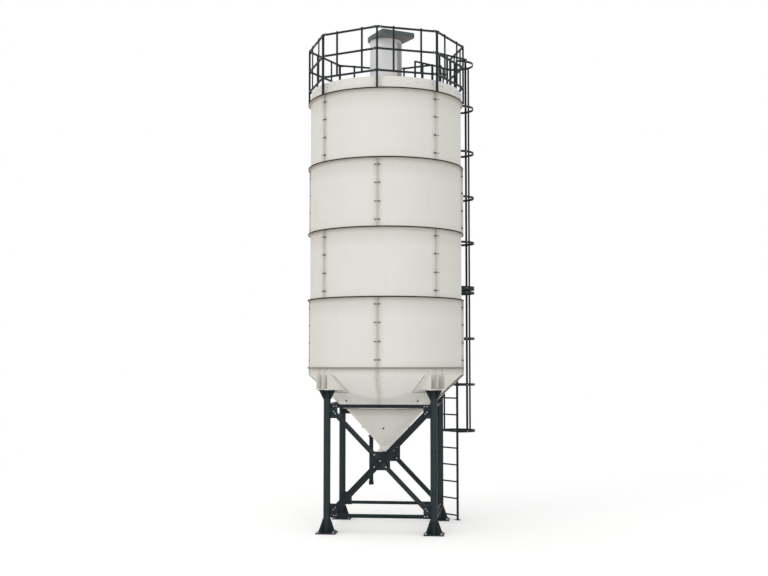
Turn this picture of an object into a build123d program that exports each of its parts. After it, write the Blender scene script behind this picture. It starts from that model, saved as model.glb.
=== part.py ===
from build123d import *
from math import cos, sin, radians, sqrt, atan2, degrees
import os

# sizes in millimetres, front is -Y and the ground is Z = 0
shell_r = 1500.0
sheet = 6.0
flange_t = 8.0
flange_w = 45.0
joint = 0.4
lap = 1.0
panel_count = 4
ring_count = 4
ring_h = 1307.0

# legs
leg_inset = 72.0
leg_r = 66.5
leg_wall = 8.0
leg_top = 2682.0
foot_plate = 375.0
foot_plate_t = 20.0
foot_fin_w = 158.0
foot_fin_top = 278.0
head_plate = 300.0
head_plate_t = 15.0
head_fin_w = 148.0
head_fin_h = 165.0
fin_t = 10.0
fin_edge = 12.0
fin_count = 8
anchor_off = 145.0
anchor_r = 12.0

# gussets, ties and cross braces
gusset_t = 12.0
gusset_reach = 197.0
gusset_h = 263.0
gusset_rim = 2.0
tie_h = 66.0
tie_t = 7.0
tie_gap = 16.0
low_tie_z = 301.0
high_tie_drop = 339.0
brace_w = 90.0
brace_meet = 4.0
brace_lip = 45.0
brace_side_gap = 40.0
brace_tie_gap = 52.0
hub_w = 376.0
hub_h = 350.0

# hopper, measured down from the foot of the lowest ring
support_h = 432.0
skirt_h = 142.0
break_drop = 804.0
break_inset = 215.0
hopper_flange_w = 57.0
tip_drop = 1537.0
tip_r = 123.0
neck_h = 107.0
outlet_flange_r = 163.0
outlet_flange_t = 16.0
outlet_bolt_pcd = 284.0
outlet_bolt_r = 9.0
outlet_bolts = 8

# brackets between hopper and legs
seat_t = 22.0
seat_half = 200.0
seat_over = 55.0
rib_pitch = 176.0
rib_t = 14.0
rib_inset = 3.0
rib_lean = 42.0
pad_half = 250.0
pad_t = 9.0
pad_drop = 47.0

# roof, toe board and guard rail
deck_t = 8.0
side_count = 8
rim_inset = 12.0
rim_t = 4.0
rim_h = 222.0
rim_flange = 30.0
rim_seam_t = 5.0
slot_h = 5.0
slot_deg = 8.0
slot_first = 12.2
slot_step = 13.7
slot_count = 6
slot_drop = 89.0
rail_over = 54.0
post_w = 36.0
post_foot_t = 10.0
rail_h = 34.0
rail_d = 30.0
rail_base = 102.0
rail_pitch = 415.0
stile_w = 34.0
stile_out = 8.0
stile_up = 12.0
gate_inset = 2.0
gate_t = 283.0

# filter on the roof
filter_r = 318.0
filter_wall = 4.0
filter_h = 1322.0
cap_t = 64.0
cap_lip = 100.0
cap_over = 47.0
cap_reach = 585.0
cap_corner = 55.0
cap_edge = 18.0
cap_deg = 32.5

# ladder and cage
ladder_deg = 135.0
ladder_gap = 189.0
ladder_half = 240.0
stringer = 34.0
ladder_foot = 104.0
rung_r = 12.0
first_rung = 92.0
rung_pitch = 340.0
cage_step = 231.0
cage_r = 362.0
hoop_h = 47.0
hoop_t = 6.0
low_hoop = 1795.0
low_hoops = 4
hoop_pitch = 952.0
splice_step = 96.0
splice_h = 76.0
cage_bar_deg = 99.0
cage_bar_w = 40.0
arm_t = 10.0
arm_h = 60.0
wide_arm_h = 183.0

# handrails at the head of the ladder
hand_t = 386.0
hand_inset = 409.0
hand_pitch = 209.0
hand_w = 30.0
hand_end_gap = 60.0

# fill pipe
fill_deg = 197.0
fill_gap = 120.0
fill_pipe_r = 44.0
fill_wall = 4.0
fill_bottom = 642.0
fill_coupling_h = 70.0
fill_coupling_r = 52.0
fill_inlet_drop = 170.0
fill_disc_z = 1656.0
fill_disc_r = 66.0
fill_disc_t = 24.0
clamp_h = 50.0
clamp_t = 7.0

# radii and heights that follow from the sizes above
leg_off = (shell_r - leg_inset) / sqrt(2)
break_r = leg_off - break_inset
seat_out = shell_r + seat_over
rim_r = shell_r - rim_inset
rail_r = shell_r + rail_over
gate_r = shell_r - gate_inset
cap_r = filter_r + cap_over
ladder_r = shell_r + ladder_gap
cage_c = ladder_r + cage_step
hand_in = shell_r - hand_inset
hand_post = hand_in + hand_pitch
fill_r = shell_r + fill_gap
panel_deg = 360 / panel_count
side_deg = 360 / side_count
mitre = sqrt(2) - 1
seat_z = leg_top + seat_t
cone_top = leg_top + support_h
skirt_z = cone_top - skirt_h
break_z = cone_top - break_drop
tip_z = cone_top - tip_drop
outlet_z = tip_z - neck_h
ring_top = cone_top + ring_count * ring_h
deck_top = ring_top + deck_t
rim_top = deck_top + rim_h
rail_levels = [rim_top + rail_base + rail_pitch * n for n in range(3)]
rail_top = rail_levels[-1]
cap_top = deck_top + filter_h + cap_t
high_tie_z = leg_top - high_tie_drop
hub_z = (low_tie_z + tie_h + high_tie_z) / 2
hand_z = rail_top + (rail_h + hand_w) / 2
nodes = {}


# local +X is outward, local +Y runs round from front to right
def turned(shape, deg):
    return Rot(0, 0, deg - 90) * shape


def face_rz(points):
    return Plane.XZ * make_face(Polyline(*points, close=True))


def round_part(points, start, end):
    return turned(revolve(face_rz(points), Axis.Z, end - start), start)


def plate_rz(points, t_from, t_to):
    return Pos(0, t_to, 0) * extrude(face_rz(points), t_to - t_from)


def block(x, y, z):
    middle = Pos((x[0] + x[1]) / 2, (y[0] + y[1]) / 2, (z[0] + z[1]) / 2)
    return middle * Box(x[1] - x[0], y[1] - y[0], z[1] - z[0])


def fuse(parts):
    whole = parts[0]
    for p in parts[1:]:
        whole = whole + p
    return whole


def tube(outer, inner, height):
    return Cylinder(outer, height) - Cylinder(inner, height)


def cone_r(z):
    return break_r + (z - break_z) * (shell_r - break_r) / (skirt_z - break_z)


def spot(r, t, deg):
    a = radians(deg)
    return (r * sin(a) + t * cos(a), -r * cos(a) + t * sin(a))


# a curved sheet with its flanges, closed by a seam flange at each end
def segment(outline, seam, start, end, radius, seam_t):
    gap = degrees(joint / 2 / radius)
    a, b = start + gap, end - gap
    near = turned(plate_rz(seam, 0, seam_t), a)
    far = turned(plate_rz(seam, -seam_t, 0), b)
    return fuse([round_part(outline, a, b), near, far])


# shell: four rings of four flanged panels, the seams half a panel apart
def shell_panel(z0, z1, start):
    inner, rim, t = shell_r - sheet, shell_r + flange_w, flange_t
    outline = [(inner, z0), (rim, z0), (rim, z0 + t), (shell_r, z0 + t), (shell_r, z1 - t), (rim, z1 - t),
               (rim, z1), (inner, z1)]
    seam = [(shell_r - lap, z0), (rim, z0), (rim, z1), (shell_r - lap, z1)]
    return segment(outline, seam, start, start + panel_deg, shell_r, flange_t)


def shell_ring(index):
    z1 = ring_top - index * ring_h
    first = panel_deg / 2 if index % 2 == 0 else 0.0
    return [shell_panel(z1 - ring_h, z1, first + panel_deg * n) for n in range(panel_count)]


inlet_z = ring_top - fill_inlet_drop
bend_z = inlet_z - fill_gap
fill_hole = turned(Pos(shell_r, 0, inlet_z) * Rot(0, 90, 0) * Cylinder(fill_pipe_r, 2 * flange_w), fill_deg)
for index in range(ring_count):
    panels = shell_ring(index)
    nodes["shell_ring_%d" % (index + 1)] = [p - fill_hole for p in panels] if index == 0 else panels

# hopper: four upper segments with a skirt, one lower cone and the outlet flange
cone_wall = sheet * sqrt(2)


def hopper_segment(start):
    rim, low_rim, t = shell_r + flange_w, break_r + hopper_flange_w, flange_t
    outline = [(rim, cone_top), (shell_r - sheet, cone_top), (shell_r - sheet, skirt_z + mitre * sheet),
               (break_r - cone_wall, break_z), (low_rim, break_z), (low_rim, break_z + t),
               (cone_r(break_z + t), break_z + t), (shell_r, skirt_z), (shell_r, cone_top - t),
               (rim, cone_top - t)]
    seam = [(shell_r - lap, cone_top), (rim, cone_top), (rim, skirt_z - mitre * flange_w), (low_rim, break_z),
            (break_r - lap, break_z), (shell_r - lap, skirt_z)]
    return segment(outline, seam, start, start + panel_deg, break_r, flange_t)


def lower_cone():
    slope = (break_r - tip_r) / (break_z - tip_z)
    low_rim, t, foot = break_r + hopper_flange_w, flange_t, outlet_z + outlet_flange_t
    outline = [(break_r - cone_wall, break_z), (low_rim, break_z), (low_rim, break_z - t),
               (break_r - t * slope, break_z - t), (tip_r, tip_z), (tip_r, foot), (tip_r - sheet, foot),
               (tip_r - sheet, tip_z + mitre * sheet)]
    return revolve(face_rz(outline), Axis.Z, 360)


def outlet_flange():
    body = Pos(0, 0, outlet_z + outlet_flange_t / 2) * tube(outlet_flange_r, tip_r - sheet, outlet_flange_t)
    for n in range(outlet_bolts):
        x, y = spot(outlet_bolt_pcd / 2, 0, 360 * (n + 0.5) / outlet_bolts)
        body -= Pos(x, y, outlet_z) * Cylinder(outlet_bolt_r, 4 * outlet_flange_t)
    return body


nodes["hopper_upper"] = [hopper_segment(panel_deg * n) for n in range(panel_count)]
nodes["hopper_lower"] = [lower_cone()]
nodes["outlet_flange"] = [outlet_flange()]

# brackets: a seat plate, three ribs cut to the hopper and a pad on the cone
hopper_body = revolve(face_rz([(0, cone_top), (shell_r, cone_top), (shell_r, skirt_z), (break_r, break_z),
                               (0, break_z)]), Axis.Z, 360)


def cone_pad():
    low, high, lean = leg_top - pad_drop, skirt_z - pad_t, pad_t * sqrt(2)
    outline = [(0, low), (cone_r(low) + lean, low), (cone_r(high) + lean, high), (0, high)]
    patch = block((break_r / 2, seat_out), (-pad_half, pad_half), (low, high))
    return revolve(face_rz(outline), Axis.Z, 360) & patch


def bracket(deg):
    top, rib_r, root = cone_top - flange_t, seat_out - rib_inset, cone_r(leg_top) - leg_r
    parts = [block((root, seat_out), (-seat_half, seat_half), (leg_top, seat_z)), cone_pad()]
    rib = [(root, leg_top + lap), (rib_r, leg_top + lap), (rib_r, skirt_z + pad_t), (rib_r - rib_lean, top),
           (shell_r - leg_r, top), (shell_r - leg_r, skirt_z)]
    for t in (-rib_pitch, 0.0, rib_pitch):
        parts.append(plate_rz(rib, t - rib_t / 2, t + rib_t / 2))
    return turned(fuse(parts), deg) - hopper_body


corners = {"fl": (-1, -1, -45), "fr": (1, -1, 45), "rr": (1, 1, 135), "rl": (-1, 1, 225)}
for tag, (sx, sy, deg) in corners.items():
    nodes["bracket_%s" % tag] = [bracket(deg)]


# legs: a tube with finned foot and head plates and the bolted gussets
def fins(points):
    fin = plate_rz(points, -fin_t / 2, fin_t / 2)
    return [Rot(0, 0, 360 / fin_count * n) * fin for n in range(fin_count)]


def gussets(sx, sy, z):
    x = sorted((0, -sx * gusset_reach))
    y = sorted((0, -sy * gusset_reach))
    half = (-gusset_t / 2, gusset_t / 2)
    return [block(x, half, (z, z + gusset_h)), block(half, y, (z, z + gusset_h))]


def leg(sx, sy):
    low, high = foot_plate_t, leg_top - head_plate_t
    inner, neck = leg_r - leg_wall / 2, leg_r + fin_edge / 2
    foot, head = (-foot_plate / 2, foot_plate / 2), (-head_plate / 2, head_plate / 2)
    foot_fin = [(inner, low - lap), (foot_fin_w, low - lap), (foot_fin_w, low + fin_edge),
                (neck, foot_fin_top), (inner, foot_fin_top)]
    head_fin = [(inner, high + lap), (head_fin_w, high + lap), (head_fin_w, high - fin_edge),
                (neck, high - head_fin_h), (inner, high - head_fin_h)]
    parts = [Pos(0, 0, leg_top / 2) * Cylinder(leg_r, leg_top), block(foot, foot, (0, low)),
             block(head, head, (high, leg_top))]
    parts += fins(foot_fin) + fins(head_fin)
    parts += gussets(sx, sy, low_tie_z - fin_edge)
    parts += gussets(sx, sy, high_tie_z + tie_h + gusset_rim - gusset_h)
    body = fuse(parts) - Pos(0, 0, leg_top / 2) * Cylinder(leg_r - leg_wall, leg_top + 2)
    for ax in (-anchor_off, anchor_off):
        for ay in (-anchor_off, anchor_off):
            body -= Pos(ax, ay, low / 2) * Cylinder(anchor_r, low + 2)
    return Pos(sx * leg_off, sy * leg_off, 0) * body


for tag, (sx, sy, deg) in corners.items():
    nodes["leg_%s" % tag] = [leg(sx, sy)]


# ties: angles bolted on the outside of the gussets
def tie(z, lip_on_top):
    half, face = leg_off - leg_r - tie_gap, -leg_off - gusset_t / 2
    web = block((-half, half), (face - tie_t, face), (z, z + tie_h))
    lip = (z + tie_h - tie_t, z + tie_h) if lip_on_top else (z, z + tie_t)
    return web + block((-half, half), (face - tie_h, face), lip)


for name, deg in (("front", 0), ("right", 90), ("rear", 180), ("left", 270)):
    nodes["tie_low_%s" % name] = [Rot(0, 0, deg) * tie(low_tie_z, False)]
    nodes["tie_high_%s" % name] = [Rot(0, 0, deg) * tie(high_tie_z, True)]


# cross braces: a channel, two angle halves that meet it and the centre plate
def brace_bar(x0, x1, lips):
    face, half = -leg_off - gusset_t / 2, brace_w / 2
    body = block((x0, x1), (face - tie_t, face), (-half, half))
    for side in lips:
        edge = sorted((side * half, side * (half - tie_t)))
        body += block((x0, x1), (face - brace_lip, face), edge)
    return body


def brace_set(deg):
    across = leg_off - leg_r - brace_side_gap
    up = (high_tie_z - low_tie_z - tie_h) / 2 - brace_tie_gap
    slope, half = degrees(atan2(up, across)), sqrt(up * up + across * across)
    near, face = brace_w / 2 + brace_meet, -leg_off - gusset_t / 2
    main = Rot(0, -slope, 0) * brace_bar(-half, half, (-1, 1))
    upper = Rot(0, 180 + slope, 0) * brace_bar(near, half, (1,))
    lower = Rot(0, slope, 0) * brace_bar(near, half, (1,))
    hub = block((-hub_w / 2, hub_w / 2), (face, face + gusset_t), (-hub_h / 2, hub_h / 2))
    return [Rot(0, 0, deg) * Pos(0, 0, hub_z) * s for s in (main, upper, lower, hub)]


for name, deg in (("front", 0), ("rear", 180)):
    main, upper, lower, hub = brace_set(deg)
    nodes["brace_%s_main" % name] = [main]
    nodes["brace_%s_halves" % name] = [upper, lower]
    nodes["brace_%s_plate" % name] = [hub]

# roof deck and the slotted toe board on its edge
nodes["roof_deck"] = [Pos(0, 0, ring_top + deck_t / 2) * Cylinder(shell_r + flange_w, deck_t)]


def slot_middles(start):
    around = [slot_first + slot_step * n for n in range(slot_count)]
    around += [180 - a for a in around]
    around += [360 - a for a in around]
    return [a for a in around if start < a < start + side_deg]


def toe_board(start):
    wall = [(rim_r - rim_t, deck_top), (rim_r, deck_top), (rim_r, rim_top), (rim_r - rim_t, rim_top)]
    edge = rim_r + rim_flange
    seam = [(rim_r - lap, deck_top), (edge, deck_top), (edge, rim_top), (rim_r - lap, rim_top)]
    body = segment(wall, seam, start, start + side_deg, rim_r, rim_seam_t)
    low = rim_top - slot_drop - slot_h / 2
    slot = [(rim_r - rim_flange, low), (edge, low), (edge, low + slot_h), (rim_r - rim_flange, low + slot_h)]
    for middle in slot_middles(start):
        body -= round_part(slot, middle - slot_deg / 2, middle + slot_deg / 2)
    return body


nodes["toe_board"] = [toe_board(side_deg * n) for n in range(side_count)]


# guard rail: corner posts on the deck edge, eight panels, a gate at the ladder
def post(r, t, deg):
    side = post_w / 2
    return turned(block((r - side, r + side), (t - side, t + side), (deck_top, rail_top + rail_h / 2)), deg)


def post_foot(deg):
    side, z = post_w / 2, (deck_top, deck_top + post_foot_t)
    return turned(block((rim_r + rim_flange, rail_r + side), (-side, side), z), deg)


def along(p, q):
    dx, dy = q[0] - p[0], q[1] - p[1]
    return sqrt(dx * dx + dy * dy), Pos(p[0], p[1], 0) * Rot(0, 0, degrees(atan2(dy, dx)))


def rail_panel(p, q):
    length, place = along(p, q)
    half = rail_d / 2
    parts = [block((0, length), (-half, half), (z - rail_h / 2, z + rail_h / 2)) for z in rail_levels]
    low, high = rail_levels[0] - rail_h / 2, rail_top + rail_h / 2 + stile_up
    for f in (0.27, 0.73):
        x = (f * length - stile_w / 2, f * length + stile_w / 2)
        parts.append(block(x, (-half - stile_out, lap - half), (low, high)))
    return place * fuse(parts)


gate_corner = round(ladder_deg / side_deg)
gate_posts = {s: post(gate_r, s * gate_t, ladder_deg) for s in (-1, 1)}
corner_posts = {n: post(rail_r, 0, side_deg * n) for n in range(side_count) if n != gate_corner}
nodes["rail_posts"] = [p + post_foot(side_deg * n) for n, p in corner_posts.items()]
nodes["rail_posts"] += list(gate_posts.values())

panel_names = ("front_right", "right_front", "right_rear", "rear_right", "rear_left", "left_rear",
               "left_front", "front_left")
for n, name in enumerate(panel_names):
    ends = []
    for corner, side in ((n, 1), ((n + 1) % side_count, -1)):
        at_gate = corner == gate_corner
        place = spot(gate_r, side * gate_t, ladder_deg) if at_gate else spot(rail_r, 0, side_deg * corner)
        ends.append((place, gate_posts[side] if at_gate else corner_posts[corner]))
    nodes["rail_%s" % name] = [rail_panel(ends[0][0], ends[1][0]) - ends[0][1] - ends[1][1]]


# filter: a round body under a cap that is drawn out to one side and deepens towards its end
def filter_cap():
    square = Rectangle(cap_reach, 2 * cap_r)
    square = Pos(cap_reach / 2, 0, 0) * fillet(square.vertices().group_by(Axis.X)[-1], cap_corner)
    body = Pos(0, 0, -cap_lip) * extrude(Circle(cap_r) + square, cap_lip)
    body = fillet(body.edges().group_by(Axis.Z)[-1], cap_edge)
    back, front = -cap_r - lap, cap_reach + lap
    under = [(back, -cap_t), (front, -cap_lip), (front, -2 * cap_lip), (back, -2 * cap_lip)]
    body -= plate_rz(under, back, -back)
    return turned(Pos(0, 0, cap_top) * body, cap_deg)


def filter_body():
    height = filter_h + cap_t / 2
    return Pos(0, 0, deck_top + height / 2) * tube(filter_r, filter_r - filter_wall, height) - filter_cap()


nodes["filter_body"] = [filter_body()]
nodes["filter_cap"] = [filter_cap()]


# ladder: square stringers on foot plates with round rungs
def ladder():
    top = rail_top - 2 * stringer
    parts = []
    for t in (-ladder_half, ladder_half):
        x, y = (ladder_r - stringer / 2, ladder_r + stringer / 2), (t - stringer / 2, t + stringer / 2)
        foot_x = (ladder_r - ladder_foot / 2, ladder_r + ladder_foot / 2)
        foot_y = (t - ladder_foot / 2, t + ladder_foot / 2)
        parts += [block(x, y, (0, top)), block(foot_x, foot_y, (0, post_foot_t))]
    rung = Rot(90, 0, 0) * Cylinder(rung_r, 2 * ladder_half)
    rungs = int((rim_top + stringer - first_rung) // rung_pitch) + 1
    for n in range(rungs):
        parts.append(Pos(ladder_r, 0, first_rung + rung_pitch * n) * rung)
    return fuse(parts)


nodes["ladder"] = [turned(ladder(), ladder_deg)]

# cage: hoops bolted to the stringers and three vertical bars, spliced above the lower part
splice_z = low_hoop + hoop_pitch * (low_hoops - 1) + splice_step
high_hoops = int((hand_z - splice_z) // hoop_pitch) + 1
hoop_levels = [low_hoop + hoop_pitch * n for n in range(low_hoops)]
hoop_levels += [splice_z + hoop_pitch * n for n in range(high_hoops)]


def hoop(z, height):
    front = ladder_r + stringer / 2 - cage_c
    half = sqrt(cage_r ** 2 - front ** 2)
    reach = cage_r + hoop_t
    body = Cylinder(cage_r, height) - Cylinder(cage_r - hoop_t, height + 2)
    body = body & block((front, reach), (-reach, reach), (-height, height))
    for s in (-1, 1):
        t = sorted((s * (ladder_half - stringer / 2), s * (half - lap)))
        body = body + block((front, front + hoop_t), t, (-height / 2, height / 2))
    return turned(Pos(cage_c, 0, z) * body, ladder_deg)


def cage_bar(deg):
    inner = cage_r - hoop_t
    low, high = low_hoop - hoop_h / 2, hoop_levels[-1] + hoop_h / 2
    strip = block((inner - hoop_t, inner), (-cage_bar_w / 2, cage_bar_w / 2), (low, high))
    return turned(Pos(cage_c, 0, 0) * Rot(0, 0, deg) * strip, ladder_deg)


hoops = [hoop(z, splice_h if z == splice_z else hoop_h) for z in hoop_levels]
bars = [cage_bar(d) for d in (-cage_bar_deg, 0, cage_bar_deg)]
for h in hoops:
    bars = [b - h for b in bars]
nodes["cage_hoops"] = hoops
nodes["cage_bars"] = bars

# wall brackets of the ladder, the lowest pair on the cone
wall = Pos(0, 0, (cone_top + ring_top) / 2) * Cylinder(shell_r, ring_top - cone_top)


def ladder_arm(side, z, height, foot_h):
    t, back = side * ladder_half, ladder_r - stringer / 2
    inner = sqrt(shell_r ** 2 - (ladder_half + arm_t) ** 2) - sheet
    y = (t - arm_t / 2, t + arm_t / 2)
    arm = block((inner, back), y, (z - height / 2, z + height / 2))
    foot = block((inner, shell_r + flange_w / 2), y, (z - foot_h / 2, z + foot_h / 2))
    return turned(arm + foot, ladder_deg) - wall


def cone_arm(side):
    t, low = side * ladder_half, seat_z + seat_t
    arm = block((break_r, ladder_r - stringer / 2), (t - arm_t / 2, t + arm_t / 2), (low, low + arm_h))
    return turned(arm, ladder_deg) - hopper_body - nodes["bracket_rr"][0]


arms = [cone_arm(s) for s in (-1, 1)]
for s in (-1, 1):
    arms.append(ladder_arm(s, splice_z - 0.65 * splice_step, wide_arm_h, wide_arm_h))
    for up in (2.0, 3.5):
        arms.append(ladder_arm(s, splice_z + up * hoop_pitch, arm_h, 2 * arm_h))
nodes["ladder_brackets"] = arms


# walk-through handrails from the roof to the cage
def handrail(side):
    t, knee = side * hand_t, hand_z - rail_pitch
    y = (t - hand_w / 2, t + hand_w / 2)
    top = block((hand_in, cage_c - hand_end_gap), y, (hand_z - hand_w / 2, hand_z + hand_w / 2))
    posts = [block((x, x + hand_w), y, (deck_top, hand_z)) for x in (hand_in, hand_post)]
    middle = block((hand_in, hand_post + hand_w), y, (knee - hand_w / 2, knee + hand_w / 2))
    return turned(fuse([top, middle] + posts), ladder_deg)


nodes["roof_handrails"] = [handrail(s) for s in (-1, 1)]


# fill pipe: riser with an elbow into the top ring, its coupling, disc and clamps
def fill_pipe():
    low, inner = fill_bottom + fill_coupling_h, fill_pipe_r - fill_wall
    riser = Pos(fill_r, 0, (low + bend_z) / 2) * tube(fill_pipe_r, inner, bend_z - low)
    ring = Pos(fill_r, 0, bend_z) * (Circle(fill_pipe_r) - Circle(inner))
    elbow = revolve(ring, Axis((shell_r, 0, bend_z), (0, -1, 0)), 90)
    stub = Pos(shell_r - flange_w / 2, 0, inlet_z) * Rot(0, 90, 0) * tube(fill_pipe_r, inner, flange_w)
    return turned(fuse([riser, elbow, stub]), fill_deg)


def pipe_clamp(z):
    collar = Pos(fill_r, 0, z) * tube(fill_pipe_r + clamp_t, fill_pipe_r, clamp_h)
    x = (shell_r - sheet, fill_r - fill_pipe_r - clamp_t / 2)
    arm = block(x, (-arm_t / 2, arm_t / 2), (z - 0.8 * clamp_h, z + 0.8 * clamp_h))
    return turned(collar + arm - wall, fill_deg)


coupling = Pos(fill_r, 0, fill_bottom + fill_coupling_h / 2) * tube(
    fill_coupling_r, fill_pipe_r - fill_wall, fill_coupling_h)
disc = Pos(fill_r, 0, fill_disc_z) * tube(fill_disc_r, fill_pipe_r, fill_disc_t)
clamp_levels = [cone_top + (n + 0.46) * ring_h for n in range(ring_count)]
nodes["fill_pipe"] = [fill_pipe()]
nodes["fill_coupling"] = [turned(coupling, fill_deg)]
nodes["pipe_clamps"] = [pipe_clamp(z) for z in clamp_levels] + [turned(disc, fill_deg)]

os.makedirs("parts", exist_ok=True)
for name, solids in nodes.items():
    flat = []
    for s in solids:
        flat += list(s.solids())
    export_step(Compound(children=flat) if len(flat) > 1 else flat[0], "parts/%s.step" % name)
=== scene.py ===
import bpy, math
from mathutils import Matrix, Vector


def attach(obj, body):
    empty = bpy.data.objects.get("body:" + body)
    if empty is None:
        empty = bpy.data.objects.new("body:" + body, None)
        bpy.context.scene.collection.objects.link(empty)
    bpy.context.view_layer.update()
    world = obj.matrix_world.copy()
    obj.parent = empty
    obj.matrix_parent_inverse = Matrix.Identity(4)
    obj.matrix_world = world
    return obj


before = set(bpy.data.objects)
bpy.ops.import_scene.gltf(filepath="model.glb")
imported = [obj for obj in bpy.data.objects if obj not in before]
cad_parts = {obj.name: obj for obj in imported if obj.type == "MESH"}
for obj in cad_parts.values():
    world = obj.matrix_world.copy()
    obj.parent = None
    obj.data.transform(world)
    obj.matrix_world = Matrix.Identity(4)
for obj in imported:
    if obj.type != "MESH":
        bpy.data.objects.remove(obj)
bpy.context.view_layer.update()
scene = bpy.context.scene

# sizes shared with the part's source, in metres
SHELL_R, FLANGE_W, RING_H, CONE_TOP, RINGS = 1.5, 0.045, 1.307, 3.114, 4
RING_TOP = CONE_TOP + RINGS * RING_H
SKIRT_Z, BREAK_Z, BREAK_R, BREAK_FLANGE = 2.972, 2.310, 0.79475, 0.057
TIP_Z, TIP_R, NECK_LOW = 1.577, 0.123, 1.4865
CONE_LEAN = math.atan2(SHELL_R - BREAK_R, SKIRT_Z - BREAK_Z)
LOWER_LEAN = math.atan2(BREAK_R - TIP_R, BREAK_Z - TIP_Z)
PAD_HALF, PAD_LOW, PAD_HIGH = 0.254, 2.631, 2.960
DECK_TOP = RING_TOP + 0.008
RIM_TOP, RIM_R = DECK_TOP + 0.222, 1.488
LEG_OFF, LEG_R, LEG_HEAD, FOOT_T, ANCHOR = 1.00975, 0.0665, 2.667, 0.020, 0.145
FACE = LEG_OFF + 0.006
TIE_LOW, TIE_HIGH, TIE_H, TIE_T = 0.301, 2.343, 0.066, 0.007
HUB_Z = (TIE_LOW + TIE_H + TIE_HIGH) / 2
RAILS = [RIM_TOP + 0.102 + 0.415 * n for n in range(3)]
RAIL_R, RAIL_H, RAIL_SIDES = 1.554, 0.034, 8
GATE_R, GATE_T, STILE_W, STILE_D = 1.498, 0.283, 0.0348, 0.022
LADDER_DEG, LADDER_R, LADDER_HALF = 135.0, 1.689, 0.240
RUNGS, RUNG_LOW, RUNG_STEP = 26, 0.092, 0.340
CAGE_C, CAGE_R, CAGE_LOW, CAGE_HIGH, CAGE_DEGS = 1.920, 0.362, 1.7715, 9.5305, (-99.0, 0.0, 99.0)
HOOP_LOW, HOOP_STEP, HOOP_SPLICE = 1.795, 0.952, 0.096
FILL_DEG, FILL_R, PIPE_R = 197.0, 1.620, 0.044
FILTER_R, FILTER_TOP = 0.318, DECK_TOP + 1.294

# colours, linear
# the last two creams are painted light, for the foot of the upper cone and the part above the high ties
CREAM, CREAM_DEEP, CREAM_FOOT_LIGHT, CREAM_TIE_LIGHT = ((0.788, 0.772, 0.720), (0.770, 0.753, 0.697),
                                              (0.97, 0.94, 0.86), (0.99, 0.96, 0.88))
# the third colour here is painted shade, below joints and beside seams
STREAK, SPECK, SHADE_TONE, DUST = (0.63, 0.605, 0.54), (0.52, 0.49, 0.42), (0.36, 0.33, 0.27), (0.55, 0.52, 0.46)
BLUE_GREY, BLUE_GREY_WORN, SCUFF = (0.0165, 0.0248, 0.0278), (0.022, 0.031, 0.034), (0.07, 0.078, 0.078)
FRAME_DUST, FRAME_SOIL = (0.12, 0.118, 0.108), (0.10, 0.095, 0.082)
METAL, METAL_LIGHT, METAL_STAIN = (0.75, 0.755, 0.752), (0.805, 0.808, 0.80), (0.42, 0.42, 0.40)
# the last teal is painted reflection, the deck's warm light on the cap's underside
TEAL, TEAL_LIGHT, TEAL_CHIP, TEAL_UNDER_BOUNCE = ((0.070, 0.093, 0.098), (0.084, 0.108, 0.112),
                                           (0.16, 0.17, 0.17), (0.155, 0.147, 0.135))


def tinted(colour, tint):
    return tuple(c * tint for c in colour)


# shader helpers
def node(tree, kind, **props):
    made = tree.nodes.new(kind)
    for key, value in props.items():
        setattr(made, key, value)
    return made


def link(tree, a, b):
    tree.links.new(a, b)


def new_material(name):
    mat = bpy.data.materials.new(name)
    mat.use_nodes = True
    tree = mat.node_tree
    tree.nodes.clear()
    out = node(tree, "ShaderNodeOutputMaterial")
    shader = node(tree, "ShaderNodeBsdfPrincipled")
    link(tree, shader.outputs[0], out.inputs[0])
    return mat, tree, shader


def noise(tree, scale, detail=4.0, rough=0.55, stretch=None):
    coords = node(tree, "ShaderNodeTexCoord")
    tex = node(tree, "ShaderNodeTexNoise")
    tex.inputs["Scale"].default_value = scale
    tex.inputs["Detail"].default_value = detail
    tex.inputs["Roughness"].default_value = rough
    place = coords.outputs["Object"]
    if stretch:
        mapping = node(tree, "ShaderNodeMapping")
        mapping.inputs["Scale"].default_value = stretch
        link(tree, place, mapping.inputs[0])
        place = mapping.outputs[0]
    link(tree, place, tex.inputs["Vector"])
    return tex.outputs["Fac"]


# a value taken from the range a..b to the range lo..hi, clamped
def ranged(tree, value, a, b, lo, hi):
    r = node(tree, "ShaderNodeMapRange", clamp=True)
    for i, v in ((1, a), (2, b), (3, lo), (4, hi)):
        r.inputs[i].default_value = v
    link(tree, value, r.inputs[0])
    return r.outputs[0]


# colours are tuples or sockets
def mix(tree, fac, a, b):
    m = node(tree, "ShaderNodeMix", data_type="RGBA")
    link(tree, fac, m.inputs[0])
    for socket, value in ((m.inputs[6], a), (m.inputs[7], b)):
        if isinstance(value, tuple):
            socket.default_value = (*value, 1.0)
        else:
            link(tree, value, socket)
    return m.outputs[2]


# operands are numbers or sockets
def calc(tree, op, *operands):
    m = node(tree, "ShaderNodeMath", operation=op)
    for i, v in enumerate(operands):
        if isinstance(v, (int, float)):
            m.inputs[i].default_value = v
        else:
            link(tree, v, m.inputs[i])
    return m.outputs[0]


# parts are (height, strength, distance), one bump on top of the other
def bump(tree, shader, parts):
    last = None
    for height, strength, distance in parts:
        b = node(tree, "ShaderNodeBump")
        b.inputs["Strength"].default_value = strength
        b.inputs["Distance"].default_value = distance
        link(tree, height, b.inputs["Height"])
        if last:
            link(tree, last, b.inputs["Normal"])
        last = b.outputs[0]
    link(tree, last, shader.inputs["Normal"])


def xyz(tree, source="Object"):
    coords = node(tree, "ShaderNodeTexCoord")
    sep = node(tree, "ShaderNodeSeparateXYZ")
    link(tree, coords.outputs[source], sep.inputs[0])
    return sep.outputs


def upward(tree):
    geo = node(tree, "ShaderNodeNewGeometry")
    sep = node(tree, "ShaderNodeSeparateXYZ")
    link(tree, geo.outputs["Normal"], sep.inputs[0])
    return sep.outputs[2]


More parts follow.
